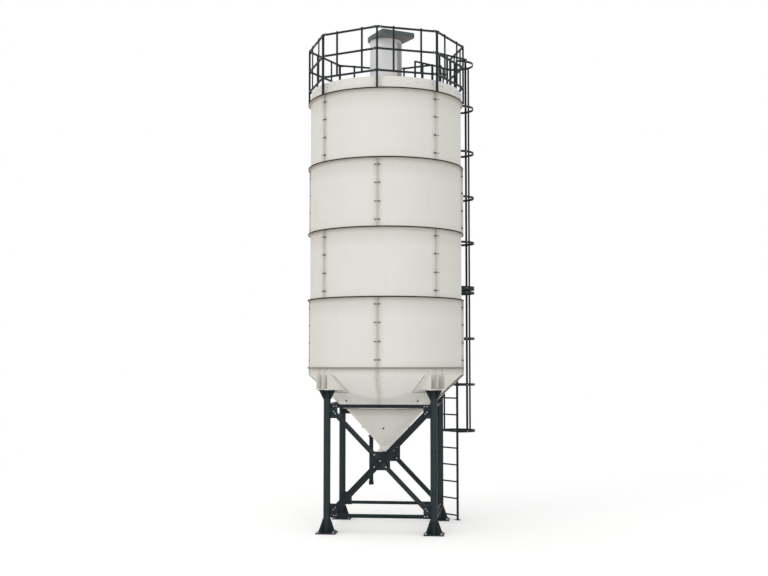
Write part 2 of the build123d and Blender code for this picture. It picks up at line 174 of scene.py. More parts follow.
def from_axis(tree, pos):
    squares = [calc(tree, "POWER", side, 2.0) for side in (pos[0], pos[1])]
    return calc(tree, "SQRT", calc(tree, "ADD", *squares))


# 1 for camera, glossy and transmission rays, 0 for the rays that light the part
def seen_rays(tree):
    path = node(tree, "ShaderNodeLightPath")
    direct = calc(tree, "MAXIMUM", path.outputs["Is Camera Ray"], path.outputs["Is Glossy Ray"])
    return calc(tree, "MAXIMUM", direct, path.outputs["Is Transmission Ray"])


# painted shade below each ring joint, darkest just under the flange and fading down the ring
def joint_shade(tree, pos):
    below = calc(tree, "MODULO", calc(tree, "SUBTRACT", RING_TOP + 2 * RING_H, pos[2]), RING_H)
    return calc(tree, "ADD", ranged(tree, below, 0.008, 0.10, 0.30, 0.0),
                ranged(tree, below, 0.02, 0.38, 0.30, 0.0))


# painted shade beside the four seams, which shift by an eighth of a turn from ring to ring where staggered
def seam_shade(tree, pos, painted_shade, near, staggered):
    turn = calc(tree, "ARCTAN2", pos[0], calc(tree, "MULTIPLY", pos[1], -1.0))
    if staggered:
        ring = calc(tree, "FLOOR", calc(tree, "DIVIDE", calc(tree, "SUBTRACT", RING_TOP, pos[2]), RING_H))
        odd = calc(tree, "PINGPONG", ring, 1.0)
        turn = calc(tree, "ADD", turn, calc(tree, "MULTIPLY", calc(tree, "SUBTRACT", 1.0, odd), math.pi / 4))
    off = calc(tree, "MULTIPLY", calc(tree, "PINGPONG", turn, math.pi / 4), SHELL_R)
    painted_shade = calc(tree, "ADD", painted_shade, ranged(tree, off, 0.006, 0.030, near, 0.0))
    return calc(tree, "ADD", painted_shade, ranged(tree, off, 0.006, 0.110, 0.18, 0.0))


# painted light: the foot of the upper cone is painted paler, most of all just above where a high tie stands
# opposite, to offset the shade the tie casts there
def paint_light_on_foot(tree, pos, colour):
    foot = ranged(tree, pos[2], BREAK_Z + 0.03, BREAK_Z + 0.30, 0.75, 0.0)
    colour = mix(tree, foot, colour, CREAM_FOOT_LIGHT)
    wide = calc(tree, "MAXIMUM", calc(tree, "ABSOLUTE", pos[0]), calc(tree, "ABSOLUTE", pos[1]))
    gap = calc(tree, "MULTIPLY", calc(tree, "SUBTRACT", FACE, wide), from_axis(tree, pos))
    drop = calc(tree, "MULTIPLY", calc(tree, "DIVIDE", gap, wide), math.tan(CONE_LEAN))
    level = calc(tree, "SUBTRACT", pos[2], drop)
    tie_top = TIE_HIGH + TIE_H
    lift = calc(tree, "MULTIPLY", ranged(tree, level, TIE_HIGH - 0.16, TIE_HIGH - 0.02, 0.6, 0.9),
                ranged(tree, level, tie_top, tie_top + 0.12, 1.0, 0.0))
    return mix(tree, lift, colour, CREAM_TIE_LIGHT)


# materials; darkened is a pair of ramps over the height, painted shade below the skirt on the upper cone and
# below the break flange on the lower cone, in place of the painted shade below ring joints
def shell_paint(name, tint=1.0, darkened=None, seam_near=None, light_on_foot=False):
    mat, tree, shader = new_material(name)
    clouds = ranged(tree, noise(tree, 1.1, 3.0), 0.35, 0.7, 0.0, 1.0)
    streak = ranged(tree, noise(tree, 1.0, 5.0, 0.6, (13.0, 13.0, 0.55)), 0.55, 0.8, 0.0, 0.16)
    specks = ranged(tree, noise(tree, 55.0, 2.0), 0.68, 0.76, 0.0, 0.06)
    colour = mix(tree, clouds, tinted(CREAM, tint), tinted(CREAM_DEEP, tint))
    colour = mix(tree, streak, colour, STREAK)
    colour = mix(tree, specks, colour, SPECK)
    pos = xyz(tree)
    if darkened:
        painted_shade = calc(tree, "ADD", *[ranged(tree, pos[2], *steps) for steps in darkened])
    else:
        painted_shade = joint_shade(tree, pos)
    if seam_near:
        painted_shade = seam_shade(tree, pos, painted_shade, seam_near, staggered=not darkened)
    patchy = ranged(tree, noise(tree, 9.0, 4.0, 0.6, (1.0, 1.0, 0.5)), 0.3, 0.7, 0.82, 1.0)
    # painted shade: the cream is darkened toward the shade tone below joints, beside seams and along the
    # height ramps
    colour = mix(tree, calc(tree, "MULTIPLY", painted_shade, patchy), colour, SHADE_TONE)
    # painted light: a paler foot on the upper cone
    if light_on_foot:
        colour = paint_light_on_foot(tree, pos, colour)
    dust = calc(tree, "MULTIPLY", ranged(tree, upward(tree), 0.6, 0.95, 0.0, 0.45),
                ranged(tree, noise(tree, 6.0, 5.0), 0.4, 0.7, 0.2, 1.0))
    colour = mix(tree, dust, colour, DUST)
    link(tree, colour, shader.inputs["Base Color"])
    link(tree, ranged(tree, noise(tree, 3.0, 4.0), 0.3, 0.7, 0.44, 0.56), shader.inputs["Roughness"])
    shader.inputs["Specular IOR Level"].default_value = 0.25
    bump(tree, shader, [(noise(tree, 1.7, 2.0), 0.08, 0.02), (noise(tree, 260.0, 2.0), 0.05, 0.001)])
    return mat


def frame_paint(name, tint=1.0):
    mat, tree, shader = new_material(name)
    patches = ranged(tree, noise(tree, 5.0, 4.0), 0.35, 0.7, 0.0, 0.6)
    colour = mix(tree, patches, tinted(BLUE_GREY, tint), tinted(BLUE_GREY_WORN, tint))
    scuffs = ranged(tree, noise(tree, 38.0, 5.0, 0.65), 0.67, 0.78, 0.0, 0.16)
    colour = mix(tree, scuffs, colour, SCUFF)
    settled = calc(tree, "MULTIPLY", ranged(tree, upward(tree), 0.5, 0.95, 0.0, 0.22),
                   ranged(tree, noise(tree, 14.0, 4.0), 0.35, 0.65, 0.15, 1.0))
    colour = mix(tree, settled, colour, FRAME_DUST)
    low = calc(tree, "MULTIPLY", ranged(tree, xyz(tree)[2], 0.0, 0.30, 0.16, 0.0),
               ranged(tree, noise(tree, 9.0, 5.0), 0.4, 0.7, 0.1, 1.0))
    colour = mix(tree, low, colour, FRAME_SOIL)
    link(tree, colour, shader.inputs["Base Color"])
    link(tree, ranged(tree, noise(tree, 11.0, 4.0), 0.3, 0.7, 0.38, 0.54), shader.inputs["Roughness"])
    shader.inputs["Specular IOR Level"].default_value = 0.15
    bump(tree, shader, [(noise(tree, 9.0, 3.0), 0.08, 0.004), (noise(tree, 320.0, 2.0), 0.06, 0.0008)])
    return mat


def filter_metal(name, shade=1.0):
    mat, tree, shader = new_material(name)
    brushed = noise(tree, 1.0, 5.0, 0.6, (90.0, 90.0, 1.2))
    grain = ranged(tree, brushed, 0.3, 0.7, 0.0, 1.0)
    colour = mix(tree, grain, tinted(METAL, shade), tinted(METAL_LIGHT, shade))
    stains = ranged(tree, noise(tree, 1.0, 4.0, 0.6, (7.0, 7.0, 1.0)), 0.55, 0.8, 0.0, 0.16)
    colour = mix(tree, stains, colour, tinted(METAL_STAIN, shade))
    link(tree, colour, shader.inputs["Base Color"])
    shader.inputs["Metallic"].default_value = 0.08
    link(tree, ranged(tree, brushed, 0.3, 0.7, 0.36, 0.52), shader.inputs["Roughness"])
    bump(tree, shader, [(brushed, 0.05, 0.002), (noise(tree, 4.0, 2.0), 0.08, 0.01)])
    return mat


# painted reflection: the underside of the cap is painted a warm brown-grey, for the light the cream deck
# throws up onto it
def cap_paint(name):
    mat, tree, shader = new_material(name)
    patches = ranged(tree, noise(tree, 7.0, 4.0), 0.35, 0.7, 0.0, 1.0)
    colour = mix(tree, patches, TEAL, TEAL_LIGHT)
    colour = mix(tree, ranged(tree, noise(tree, 60.0, 4.0), 0.64, 0.76, 0.0, 0.25), colour, TEAL_CHIP)
    # painted reflection of the deck on the downward faces
    colour = mix(tree, ranged(tree, upward(tree), -0.9, -0.5, 1.0, 0.0), colour, TEAL_UNDER_BOUNCE)
    link(tree, colour, shader.inputs["Base Color"])
    link(tree, ranged(tree, noise(tree, 16.0, 3.0), 0.3, 0.7, 0.40, 0.55), shader.inputs["Roughness"])
    shader.inputs["Specular IOR Level"].default_value = 0.4
    bump(tree, shader, [(noise(tree, 420.0, 2.0), 0.10, 0.001), (noise(tree, 6.0, 2.0), 0.06, 0.006)])
    return mat


def fastener(name, light, dark, metallic, rough):
    mat, tree, shader = new_material(name)
    patchy = ranged(tree, noise(tree, 45.0, 5.0, 0.6), 0.38, 0.66, 0.0, 1.0)
    link(tree, mix(tree, patchy, light, dark), shader.inputs["Base Color"])
    shader.inputs["Metallic"].default_value = metallic
    dull = ranged(tree, noise(tree, 90.0, 3.0), 0.3, 0.7, rough - 0.08, rough + 0.1)
    link(tree, dull, shader.inputs["Roughness"])
    bump(tree, shader, [(noise(tree, 700.0, 2.0), 0.12, 0.0006)])
    return mat


def strip_paint(name, dark, light):
    mat, tree, shader = new_material(name)
    colour = mix(tree, ranged(tree, noise(tree, 30.0, 4.0), 0.35, 0.7, 0.0, 1.0), dark, light)
    link(tree, colour, shader.inputs["Base Color"])
    shader.inputs["Roughness"].default_value = 0.8
    shader.inputs["Specular IOR Level"].default_value = 0.2
    bump(tree, shader, [(noise(tree, 300.0, 3.0), 0.2, 0.001)])
    return mat


SKIRT_SHADE = ((SKIRT_Z - 0.01, SKIRT_Z + 0.01, 0.0, 0.24), (SKIRT_Z, CONE_TOP, 0.0, 0.22))
BREAK_SHADE = ((BREAK_Z - 0.15, BREAK_Z - 0.02, 0.0, 0.55), (BREAK_Z - 0.42, BREAK_Z - 0.12, 0.0, 0.14))
NO_SHADE = ((0.0, 0.1, 0.0, 0.0), (0.0, 0.1, 0.0, 0.0))
MAT = {
    "shell": shell_paint("shell_paint_cream", seam_near=0.24),
    # painted light: the cones' cream is 1.12 and 1.13 times as light, to offset the shade on their
    # downward-facing surfaces
    "cone": shell_paint("shell_paint_upper_cone", 1.12, SKIRT_SHADE, seam_near=0.08, light_on_foot=True),
    "lower": shell_paint("shell_paint_lower_cone", 1.13, BREAK_SHADE),
    "plain": shell_paint("shell_paint_brackets", 1.0, NO_SHADE),
    "frame": frame_paint("frame_paint_blue_grey"),
    # painted light: the legs and the front brace halves get the frame paint 1.35 times as light, for the
    # light they catch
    "legs": frame_paint("frame_paint_lit_copy", 1.35),
    "filter": filter_metal("filter_metal_grey"),
    # painted shade: the door's metal is 0.42 as light as the filter's, shade painted on the filter's
    # right-hand side
    "door": filter_metal("filter_door_shaded_grey", 0.42),
    "cap": cap_paint("cap_paint_teal_grey"),
    "zinc": fastener("zinc_fastener", (0.62, 0.62, 0.60), (0.46, 0.45, 0.42), 0.35, 0.42),
    "brown": fastener("dark_fastener", (0.030, 0.026, 0.021), (0.060, 0.052, 0.040), 0.3, 0.5),
    "seal": strip_paint("joint_seal_dark", (0.020, 0.018, 0.015), (0.036, 0.033, 0.028)),
    # painted shadow at the pad edges and under the flange at the foot of the shell
    "edge": strip_paint("edge_sealant_taupe", (0.27, 0.255, 0.215), (0.34, 0.32, 0.27)),
    # painted shade on one face of the cone's seam flanges
    "flange_face_shade": strip_paint("seam_face_shade_taupe", (0.20, 0.19, 0.165), (0.25, 0.24, 0.205)),
}
EXACT = {"filter_body": "filter", "filter_cap": "cap", "hopper_upper": "cone", "hopper_lower": "lower",
         "brace_front_halves": "legs"}
BY_START = {("bracket", "outlet", "roof_deck", "toe"): "plain", ("shell",): "shell", ("leg",): "legs"}


def node_material(name):
    if name in EXACT:
        return MAT[EXACT[name]]
    for starts, key in BY_START.items():
        if name.startswith(starts):
            return MAT[key]
    return MAT["frame"]


for name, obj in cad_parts.items():
    for slot in obj.material_slots:
        slot.material = node_material(name)


# gathers solids in one mesh, each added at its own placement
class Builder:
    def __init__(self):
        self.verts, self.faces, self.count = [], [], 0

    def add(self, verts, faces, place):
        self.verts += [tuple(place @ Vector(v)) for v in verts]
        self.faces += [tuple(i + self.count for i in f) for f in faces]
        self.count += len(verts)

    # rings of (radius, height) with n corners, closed at both ends
    def lathe(self, profile, n, place):
        verts, faces = [], []
        for r, z in profile:
            for k in range(n):
                a = 2 * math.pi * k / n
                verts.append((r * math.cos(a), r * math.sin(a), z))
        for j in range(len(profile) - 1):
            for k in range(n):
                a, b = j * n + k, j * n + (k + 1) % n
                faces.append((a, b, b + n, a + n))
        faces.append(tuple(reversed(range(n))))
        faces.append(tuple((len(profile) - 1) * n + k for k in range(n)))
        self.add(verts, faces, place)

    # a box with chamfered edges all round
    def plate(self, size, place, chamfer=0.0012):
        x, y, z = (s / 2 for s in size)
        c = min(chamfer, min(x, y, z) * 0.45)
        verts, faces = [], []
        for sz, inset in ((-z, c), (-z + c, 0.0), (z - c, 0.0), (z, c)):
            a, b = x - inset, y - inset
            verts += [(-a + c, -b, sz), (a - c, -b, sz), (a, -b + c, sz), (a, b - c, sz), (a - c, b, sz),
                      (-a + c, b, sz), (-a, b - c, sz), (-a, -b + c, sz)]
        for j in range(3):
            for k in range(8):
                a, b = j * 8 + k, j * 8 + (k + 1) % 8
                faces.append((a, b, b + 8, a + 8))
        faces.append(tuple(reversed(range(8))))
        faces.append(tuple(24 + k for k in range(8)))
        self.add(verts, faces, place)

    # hexagon head on a washer, seated at the local origin and standing along +Z
    def bolt(self, place, size, stud=0.0):
        w, h = size * 0.18, size * 0.68
        self.lathe([(size * 0.98, 0), (size * 1.02, w * 0.4), (size * 0.98, w)], 16, place)
        self.lathe([(size * 0.84, w), (size * 0.87, w + 0.001), (size * 0.87, w + h * 0.8),
                    (size * 0.72, w + h)], 6, place)
        if stud:
            self.lathe([(size * 0.5, w + h - 0.001), (size * 0.5, w + h + stud * 0.8),
                        (size * 0.4, w + h + stud)], 10, place)

    # a closed round bar
    def torus(self, radius, tube, place, n=48, m=8):
        verts, faces = [], []
        for i in range(n):
            a = 2 * math.pi * i / n
            for j in range(m):
                b = 2 * math.pi * j / m
                r = radius + tube * math.cos(b)
                verts.append((r * math.cos(a), r * math.sin(a), tube * math.sin(b)))
        for i in range(n):
            for j in range(m):
                p, q = i * m, ((i + 1) % n) * m
                faces.append((p + j, q + j, q + (j + 1) % m, p + (j + 1) % m))
        self.add(verts, faces, place)

    # a flat hoop with its outer face at r, round the Z axis
    def band(self, r, z, height, depth, n=192):
        verts, faces = [], []
        for i in range(n):
            a = 2 * math.pi * i / n
            for rr, zz in ((r - depth, -height / 2), (r, -height / 2), (r, height / 2),
                           (r - depth, height / 2)):
                verts.append((rr * math.cos(a), rr * math.sin(a), z + zz))
        for i in range(n):
            p, q = 4 * i, 4 * ((i + 1) % n)
            for j in range(4):
                faces.append((p + j, q + j, q + (j + 1) % 4, p + (j + 1) % 4))
        self.add(verts, faces, Matrix.Identity(4))

    # a round bead along points
    def sweep(self, points, radius, n=8):
        verts, faces = [], []
        for i, p in enumerate(points):
            ahead = (points[min(i + 1, len(points) - 1)] - points[max(i - 1, 0)]).normalized()
            side = ahead.cross(Vector((0, 0, 1))).normalized()
            over = side.cross(ahead)
            for k in range(n):
                a = 2 * math.pi * k / n
                verts.append(tuple(p + radius * (math.cos(a) * side + math.sin(a) * over)))
        for i in range(len(points) - 1):
            for k in range(n):
                a, b = i * n + k, i * n + (k + 1) % n
                faces.append((a, b, b + n, a + n))
        faces += [tuple(reversed(range(n))), tuple((len(points) - 1) * n + k for k in range(n))]
        self.add(verts, faces, Matrix.Identity(4))

    def make(self, name, material, smooth=35.0):
        mesh = bpy.data.meshes.new(name)
        mesh.from_pydata(self.verts, [], self.faces)
        mesh.validate()
        mesh.update()
        mesh.polygons.foreach_set("use_smooth", [True] * len(mesh.polygons))
        mesh.set_sharp_from_angle(angle=math.radians(smooth))
        mesh.materials.append(material)
        obj = bpy.data.objects.new(name, mesh)
        bpy.context.collection.objects.link(obj)
        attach(obj, "root")


def shift(x, y, z):
    return Matrix.Translation((x, y, z))


# local +X outward at the given azimuth (0 front, 90 right), +Y onward round, +Z up
def polar(deg, r=0.0, t=0.0, z=0.0):
    return Matrix.Rotation(math.radians(deg - 90), 4, "Z") @ shift(r, t, z)


# turns local +Z to the named local axis
TURNS = {"+X": Matrix.Rotation(math.radians(90), 4, "Y"), "-X": Matrix.Rotation(math.radians(-90), 4, "Y"),
         "+Y": Matrix.Rotation(math.radians(-90), 4, "X"), "-Y": Matrix.Rotation(math.radians(90), 4, "X")}


def facing(place, axis):
    return place @ TURNS[axis]


def cone_radius(z):
    if z > BREAK_Z:
        return BREAK_R + (z - BREAK_Z) * (SHELL_R - BREAK_R) / (SKIRT_Z - BREAK_Z)
    return TIP_R + (z - TIP_Z) * (BREAK_R - TIP_R) / (BREAK_Z - TIP_Z)


# radius of each washer; the head is a little smaller
FRAME_BOLT, HUB_BOLT, INNER_BOLT, ANCHOR_NUT = 0.012, 0.015, 0.014, 0.018
SEAM_BOLT, CONE_BOLT, RAIL_BOLT, TOE_SCREW = 0.016, 0.0105, 0.0095, 0.0072
CAGE_BOLT, STRINGER_BOLT = 0.009, 0.010
HUB_STUD, ANCHOR_STUD, SEAM_STUD, CONE_STUD = 0.008, 0.020, 0.042, 0.008

# bolts of the frame: tie ends, brace ends and the centre plates, these last through to the inside
TIE_ENDS, BRACE_ENDS = (-0.882, -0.835, 0.835, 0.882), ((0.885, 0.914), (0.851, 0.878))
HUB_OUTSIDE = ((-0.110, 0.112), (0.110, -0.114), (-0.110, -0.114), (0.0, 0.0))
HUB_INSIDE = ((-0.116, 0.114), (0.116, -0.114), (-0.116, -0.114), (0.116, 0.114), (0.056, 0.05),
              (0.005, 0.003))
HUB_REAR = (-0.056, -0.05)
bolts = Builder()
for deg in (0, 90, 180, 270):
    for x in TIE_ENDS:
        for z in (TIE_LOW + TIE_H / 2, TIE_HIGH + TIE_H / 2):
            bolts.bolt(facing(polar(deg, FACE + TIE_T, x, z), "+X"), FRAME_BOLT)
for deg in (0, 180):
    out = FACE + TIE_T
    for x, z in BRACE_ENDS:
        for s in (-1, 1):
            bolts.bolt(facing(polar(deg, out, s * x, HUB_Z + s * z), "+X"), FRAME_BOLT)
            bolts.bolt(facing(polar(deg, out, -s * x, HUB_Z + s * z), "+X"), FRAME_BOLT)
    for x, z in HUB_OUTSIDE:
        bolts.bolt(facing(polar(deg, out, x, HUB_Z + z), "+X"), HUB_BOLT)
    if deg == 180:
        bolts.bolt(facing(polar(deg, out, HUB_REAR[0], HUB_Z + HUB_REAR[1]), "+X"), FRAME_BOLT)
    for x, z in HUB_INSIDE:
        bolts.bolt(facing(polar(deg, FACE - 0.012, x, HUB_Z + z), "-X"), INNER_BOLT, HUB_STUD)
bolts.make("bolts_frame", MAT["zinc"])

# anchor studs and nuts on the foot plates
anchors = Builder()
for sx in (-1, 1):
    for sy in (-1, 1):
        for ax in (-1, 1):
            for ay in (-1, 1):
                at = shift(sx * LEG_OFF + ax * ANCHOR, sy * LEG_OFF + ay * ANCHOR, FOOT_T)
                anchors.bolt(at, ANCHOR_NUT, ANCHOR_STUD)
anchors.make("anchor_nuts", MAT["zinc"])

# seam bolts: a head and a long stud on each side of a shell seam, small painted ones on the cone. The shell's
# seam bolts are near-black with long studs, partly dark bolts and partly painted shadow, the shadow each bolt
# throws on the shell
SEAM_HALF, CONE_SEAM_HALF = 0.0083, 0.0092
SEAM_SHARES, CONE_SHARES = (0.11, 0.37, 0.64, 0.90), (0.08, 0.22, 0.36, 0.50, 0.64, 0.78, 0.92)
seams = Builder()
for index in range(RINGS):
    first = 45.0 if index % 2 == 0 else 0.0
    for n in range(4):
        for f in SEAM_SHARES:
            at = polar(first + 90 * n, SHELL_R + FLANGE_W * 0.5, 0, RING_TOP - index * RING_H - f * RING_H)
            seams.bolt(facing(at @ shift(0, SEAM_HALF, 0), "+Y"), SEAM_BOLT, SEAM_STUD)
            seams.bolt(facing(at @ shift(0, -SEAM_HALF, 0), "-Y"), SEAM_BOLT, SEAM_STUD)
seams.make("seam_bolts", MAT["brown"])
painted = Builder()
for n in range(4):
    for f in CONE_SHARES:
        at = polar(90 * n, SHELL_R + (BREAK_R - SHELL_R) * f + 0.028, 0,
                   SKIRT_Z + (BREAK_Z - SKIRT_Z) * f - 0.02)
        painted.bolt(facing(at @ shift(0, CONE_SEAM_HALF, 0), "+Y"), CONE_BOLT, CONE_STUD)
        painted.bolt(facing(at @ shift(0, -CONE_SEAM_HALF, 0), "-Y"), CONE_BOLT, CONE_STUD)
painted.make("cone_seam_bolts", MAT["cone"])

# painted shade: a taupe sheet on one side of each seam flange of the cone, where that face is in shade
seam_face_shade = Builder()
rim, low_rim = SHELL_R + FLANGE_W, BREAK_R + BREAK_FLANGE
outline = ((SHELL_R, SKIRT_Z - 0.004), (rim - 0.004, SKIRT_Z - 0.0215), (low_rim - 0.004, BREAK_Z + 0.012),
           (BREAK_R + 0.013, BREAK_Z + 0.012))
for n in range(4):
    verts = [(r, t, z) for t in (-0.0080, -0.0092) for r, z in outline]
    loop = [(0, 1, 2, 3), (7, 6, 5, 4)] + [(i, (i + 1) % 4, (i + 1) % 4 + 4, i + 4) for i in range(4)]
    seam_face_shade.add(verts, loop, polar(90 * n))
seam_face_shade.make("cone_seam_face_shade", MAT["flange_face_shade"])


def on_cone(deg, t, z):
    return polar(deg) @ Vector((math.sqrt(cone_radius(z) ** 2 - t * t), t, z))


# painted shadow: taupe beads down both sides and along the foot of the bracket pads, for the shadow line at
# the pad edges
PAD_SHADE_BEAD = 0.0055
pad_shade_lines = Builder()
for deg in (45, 135, 225, 315):
    for side in (-PAD_HALF, PAD_HALF):
        pad_shade_lines.sweep([on_cone(deg, side, PAD_LOW + (PAD_HIGH - PAD_LOW) * k / 12) for k in range(13)], PAD_SHADE_BEAD)
    pad_shade_lines.sweep([on_cone(deg, -PAD_HALF + 2 * PAD_HALF * k / 16, PAD_LOW) for k in range(17)], PAD_SHADE_BEAD)
pad_shade_lines.make("pad_edge_shade", MAT["edge"])

# seals round the ring joints and the break of the hopper; the taupe band at the foot of the shell is painted
# shadow under its flange
SEAL_OUT = SHELL_R + FLANGE_W + 0.0018
# painted shadow under the flange at the foot of the shell
flange_shadow_band = Builder()
flange_shadow_band.band(SEAL_OUT, CONE_TOP - 0.019, 0.032, 0.006)
flange_shadow_band.make("cone_flange_shadow", MAT["edge"])
seals = Builder()
for index in range(1, RINGS + 1):
    seals.band(SEAL_OUT, CONE_TOP + index * RING_H + (0.002 if index == RINGS else -0.003), 0.023, 0.006)
seals.band(BREAK_R + BREAK_FLANGE + 0.0015, BREAK_Z, 0.008, 0.005)
seals.make("joint_seals", MAT["seal"])

# aeration sockets on the cones, open at the end
SOCKET = [(0.018, -0.004), (0.018, 0.004), (0.0135, 0.006), (0.0135, 0.020), (0.0115, 0.022), (0.009, 0.022),
          (0.009, 0.012)]
sockets = Builder()
for first, z, slope in ((45, 2.470, CONE_LEAN), (0, 1.936, LOWER_LEAN)):
    for n in range(4):
        at = polar(first + 90 * n, cone_radius(z), 0, z) @ Matrix.Rotation(math.pi - slope, 4, "Y")
        sockets.lathe(SOCKET, 20, at)
sockets.make("aeration_sockets", MAT["brown"])


# guard rail: an end plate and a bolt where each rail meets a corner post
def corner(n):
    a = math.radians(360 / RAIL_SIDES * n)
    return Vector((RAIL_R * math.sin(a), -RAIL_R * math.cos(a), 0))


def along(run):
    return Matrix((run, Vector((-run.y, run.x, 0)), Vector((0, 0, 1)))).transposed().to_4x4()


GATE_CORNER = round(LADDER_DEG * RAIL_SIDES / 360)
lugs, rail_bolts = Builder(), Builder()
for n in range(RAIL_SIDES):
    for side in (-1, 1):
        if n == GATE_CORNER:
            continue
        p, q = corner(n), corner(n + side)
        for z in RAILS:
            at = Matrix.Translation(p + Vector((0, 0, z))) @ along((q - p).normalized())
            lugs.plate((0.066, 0.005, 0.046), at @ shift(0.050, -side * 0.0176, 0))
            head = at @ shift(0.056, -side * 0.020, 0)
            rail_bolts.bolt(facing(head, "+Y" if side < 0 else "-Y"), RAIL_BOLT)
lugs.make("rail_end_plates", MAT["frame"])
rail_bolts.make("rail_bolts", MAT["zinc"])

# intermediate posts of the rail: tubes round the flat stiles
gate = Matrix.Rotation(math.radians(LADDER_DEG - 90), 4, "Z")
STILE_LOW, STILE_HIGH = RAILS[0] - RAIL_H / 2 - 0.0004, RAILS[2] + RAIL_H / 2 + 0.0124
stiles = Builder()
for n in range(RAIL_SIDES):
    p, q = [gate @ Vector((GATE_R, s * GATE_T, 0)) if c == GATE_CORNER else corner(c)
            for c, s in ((n, 1), (n + 1, -1))]
    for f in (0.27, 0.73):
        middle = p + (q - p) * f + Vector((0, 0, (STILE_LOW + STILE_HIGH) / 2))
        at = Matrix.Translation(middle) @ along((q - p).normalized()) @ shift(0, STILE_D / 2 - 0.0234, 0)
        stiles.plate((STILE_W, STILE_D, STILE_HIGH - STILE_LOW), at, 0.002)
stiles.make("rail_stile_tubes", MAT["frame"])

# toe board screws
SCREW_DEGS = (-63.4, -53.2, -42.8, -35.0, 30.0, 36.2, 42.8, 53.2, 63.4, 73.8)
screws = Builder()
for turn in (0, 180):
    for deg in SCREW_DEGS:
        screws.bolt(facing(polar(turn + deg, RIM_R, 0, RIM_TOP - 0.089), "+X"), TOE_SCREW)
screws.make("toe_board_screws", MAT["brown"])

# filter: a curved door on the right-hand side in darker metal, painted shade on that side, upright seams and
# clamp bands
DOOR_FROM, DOOR_TO, DOOR_STEPS = 51.0, 131.0, 28
r0, r1 = FILTER_R + 0.0005, FILTER_R + 0.004
profile = ((r0, DECK_TOP + 0.05), (r1, DECK_TOP + 0.053), (r1, FILTER_TOP - 0.063), (r0, FILTER_TOP - 0.06))
verts, faces = [], []
for i in range(DOOR_STEPS + 1):
    a = math.radians(DOOR_FROM + (DOOR_TO - DOOR_FROM) * i / DOOR_STEPS - 90)
    verts += [(r * math.cos(a), r * math.sin(a), z) for r, z in profile]
for i in range(DOOR_STEPS):
    p, q = 4 * i, 4 * (i + 1)
    faces += [(p + j, q + j, q + j + 1, p + j + 1) for j in range(3)]
faces += [(0, 1, 2, 3), tuple(4 * DOOR_STEPS + j for j in (3, 2, 1, 0))]
door = Builder()
door.add(verts, faces, Matrix.Identity(4))
door.make("filter_door", MAT["door"])
clamps = Builder()
for deg in (50.0, 132.0, -38.0, 218.0):
    clamps.plate((0.006, 0.016, FILTER_TOP - DECK_TOP - 0.02),
                 polar(deg, FILTER_R + 0.003, 0, (FILTER_TOP + DECK_TOP) / 2))
for z in (DECK_TOP + 0.03, DECK_TOP + 0.66, FILTER_TOP - 0.03):
    clamps.band(FILTER_R + 0.004, z, 0.022, 0.005, 96)
clamps.make("filter_seams", MAT["filter"])


def cage_bar(deg, z):
    return polar(LADDER_DEG, CAGE_C, 0, z) @ Matrix.Rotation(math.radians(deg), 4, "Z")


# bolts of the cage hoops and of the fill pipe's clamps; the cage is spliced above its fourth hoop
fix = Builder()
hoops = [HOOP_LOW + HOOP_STEP * n for n in range(4)]
hoops += [HOOP_LOW + HOOP_STEP * 3 + HOOP_SPLICE + HOOP_STEP * n for n in range(6)]
for z in hoops:
    for s in (-1, 1):
        at = polar(LADDER_DEG, LADDER_R + 0.023, s * (LADDER_HALF + 0.012), z)
        fix.bolt(facing(at, "+X"), STRINGER_BOLT)
    for deg in CAGE_DEGS:
        fix.bolt(facing(cage_bar(deg, z) @ shift(CAGE_R, 0, 0), "+X"), CAGE_BOLT)
for index in range(RINGS):
    z = CONE_TOP + (index + 0.46) * RING_H
    for s in (-1, 1):
        at = polar(FILL_DEG, FILL_R, s * (PIPE_R + 0.007), z)
        fix.bolt(facing(at, "+Y" if s > 0 else "-Y"), CAGE_BOLT)
fix.make("ladder_bolts", MAT["zinc"])

# ribbed sleeves on the rungs
SLEEVE_R, GROOVE_R, SLEEVE_HALF, RIBS = 0.0157, 0.0149, 0.2190, 21
ribs = [(0.0140, -0.2205), (SLEEVE_R, -SLEEVE_HALF)]
for k in range(RIBS):
    z = -SLEEVE_HALF + 2 * SLEEVE_HALF * k / RIBS
    ribs += [(SLEEVE_R, z - 0.006), (SLEEVE_R, z + 0.006), (GROOVE_R, z + 0.0075), (GROOVE_R, z + 0.0125)]
ribs += [(SLEEVE_R, SLEEVE_HALF), (0.0140, 0.2205)]
sleeves = Builder()
for n in range(RUNGS):
    sleeves.lathe(ribs, 16, facing(polar(LADDER_DEG, LADDER_R, 0, RUNG_LOW + RUNG_STEP * n), "+Y"))
sleeves.make("rung_sleeves", MAT["frame"])

# broad faces of the cage bars
bars = Builder()
for deg in CAGE_DEGS:
    bars.plate((0.0066, 0.050, CAGE_HIGH - CAGE_LOW - 0.004),
               cage_bar(deg, (CAGE_LOW + CAGE_HIGH) / 2) @ shift(CAGE_R - 0.0093, 0, 0))
bars.make("cage_bar_faces", MAT["frame"])

# weld beads round the legs and the outlet neck
beads = Builder()
for sx in (-1, 1):
    for sy in (-1, 1):
        for z in (FOOT_T, LEG_HEAD):
            beads.torus(LEG_R, 0.005, shift(sx * LEG_OFF, sy * LEG_OFF, z))
beads.make("leg_weld_beads", MAT["frame"])
neck = Builder()
neck.torus(TIP_R, 0.0045, shift(0, 0, NECK_LOW), 64)
neck.torus(TIP_R, 0.0040, shift(0, 0, TIP_Z), 64)
neck.make("neck_weld_beads", MAT["shell"])


# floor: pale, brighter for rays that see it, and plain white far out
FLOOR_HALF, FLOOR_GLOW, FADE_FROM, FADE_TO = 90.0, 0.12, 5.0, 16.0
FLOOR_DARK, FLOOR_LIGHT, FLOOR_SEEN = (0.93, 0.93, 0.925), (0.95, 0.95, 0.945), (1.19, 1.19, 1.185)


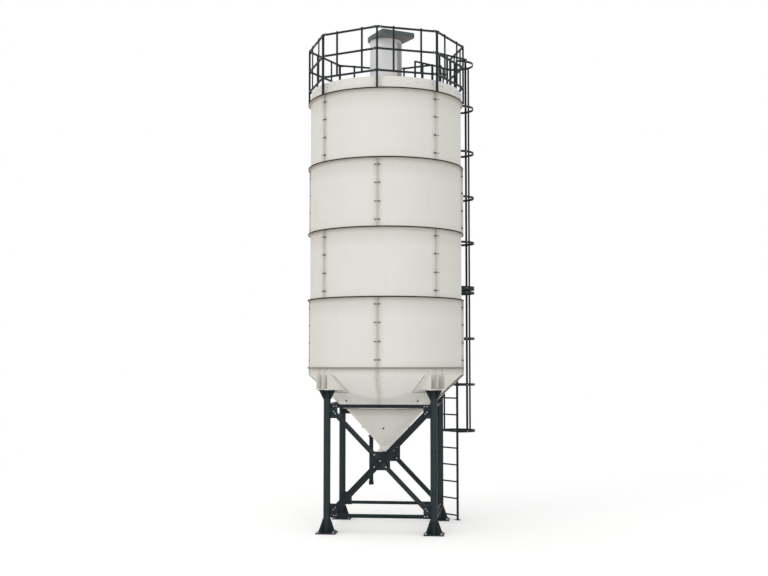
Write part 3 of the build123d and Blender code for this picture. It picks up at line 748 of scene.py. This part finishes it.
def floor_material():
    mat = bpy.data.materials.new("floor_pale")
    mat.use_nodes = True
    tree = mat.node_tree
    tree.nodes.clear()
    out = node(tree, "ShaderNodeOutputMaterial")
    diffuse = node(tree, "ShaderNodeBsdfDiffuse")
    glow = node(tree, "ShaderNodeEmission")
    seen = seen_rays(tree)
    grain = ranged(tree, noise(tree, 0.6, 3.0), 0.3, 0.7, 0.0, 1.0)
    pale = mix(tree, grain, FLOOR_DARK, FLOOR_LIGHT)
    link(tree, mix(tree, seen, pale, FLOOR_SEEN), diffuse.inputs[0])
    link(tree, calc(tree, "MULTIPLY", seen, FLOOR_GLOW), glow.inputs[1])
    near = node(tree, "ShaderNodeAddShader")
    link(tree, diffuse.outputs[0], near.inputs[0])
    link(tree, glow.outputs[0], near.inputs[1])
    far = ranged(tree, from_axis(tree, xyz(tree)), FADE_FROM, FADE_TO, 0.0, 1.0)
    fade = calc(tree, "MULTIPLY", far, seen)
    white = node(tree, "ShaderNodeEmission")
    white.inputs[1].default_value = 1.0
    blend = node(tree, "ShaderNodeMixShader")
    link(tree, fade, blend.inputs[0])
    link(tree, near.outputs[0], blend.inputs[1])
    link(tree, white.outputs[0], blend.inputs[2])
    link(tree, blend.outputs[0], out.inputs[0])
    return mat


floor_mesh = bpy.data.meshes.new("floor")
floor_mesh.from_pydata([(x * FLOOR_HALF, y * FLOOR_HALF, 0) for x, y in ((-1, -1), (1, -1), (1, 1), (-1, 1))],
                       [], [(0, 1, 2, 3)])
floor = bpy.data.objects.new("floor", floor_mesh)
bpy.context.collection.objects.link(floor)
floor_mesh.materials.append(floor_material())


# world: white where seen, and a soft light that is dimmer from behind on the right
WORLD_FRONT, WORLD_BEHIND = 0.815, 0.45


def world_background(tree, strength=None):
    made = node(tree, "ShaderNodeBackground")
    made.inputs[0].default_value = (1.0, 1.0, 1.0, 1.0)
    if strength is None:
        made.inputs[1].default_value = 1.0
    else:
        link(tree, strength, made.inputs[1])
    return made.outputs[0]


world = bpy.data.worlds.new("studio")
scene.world = world
world.use_nodes = True
tree = world.node_tree
tree.nodes.clear()
out = node(tree, "ShaderNodeOutputWorld")
toward = xyz(tree, "Generated")
behind = calc(tree, "ADD", calc(tree, "MULTIPLY", toward[0], 0.8), calc(tree, "MULTIPLY", toward[1], 0.6))
blend = node(tree, "ShaderNodeMixShader")
link(tree, seen_rays(tree), blend.inputs[0])
soft = ranged(tree, behind, 0.0, 0.9, WORLD_FRONT, WORLD_BEHIND)
link(tree, world_background(tree, soft), blend.inputs[1])
link(tree, world_background(tree), blend.inputs[2])
link(tree, blend.outputs[0], out.inputs[0])


# lamps
def area(name, place, target, size, power, colour=(1, 1, 1)):
    data = bpy.data.lights.new(name, "AREA")
    data.shape = "DISK"
    data.size, data.energy, data.color = size, power, colour
    lamp = bpy.data.objects.new(name, data)
    lamp.location = place
    lamp.rotation_euler = (Vector(target) - Vector(place)).to_track_quat("-Z", "Y").to_euler()
    lamp.visible_camera = False
    bpy.context.collection.objects.link(lamp)


area("key", (-15.0, -19.0, 21.0), target=(0, 0, 4.5), size=12.0, power=680.0, colour=(1.0, 0.995, 0.985))
area("front_fill", (8.0, -25.5, 3.2), target=(0, 0, 3.5), size=6.0, power=820.0)

# camera: low, a little to the right of the front, tilted up
CAMERA_TILT, CAMERA_TURN = 3.98, 6.163
cam_data = bpy.data.cameras.new("camera")
cam_data.sensor_width = 36.0
cam_data.lens = 52.03
cam_data.clip_end = 400.0
camera = bpy.data.objects.new("camera", cam_data)
camera.location = (2.328, -21.897, 3.147)
camera.rotation_euler = (math.radians(90 + CAMERA_TILT), 0.0, math.radians(CAMERA_TURN))
bpy.context.collection.objects.link(camera)
scene.camera = camera

scene.view_settings.view_transform = "Standard"
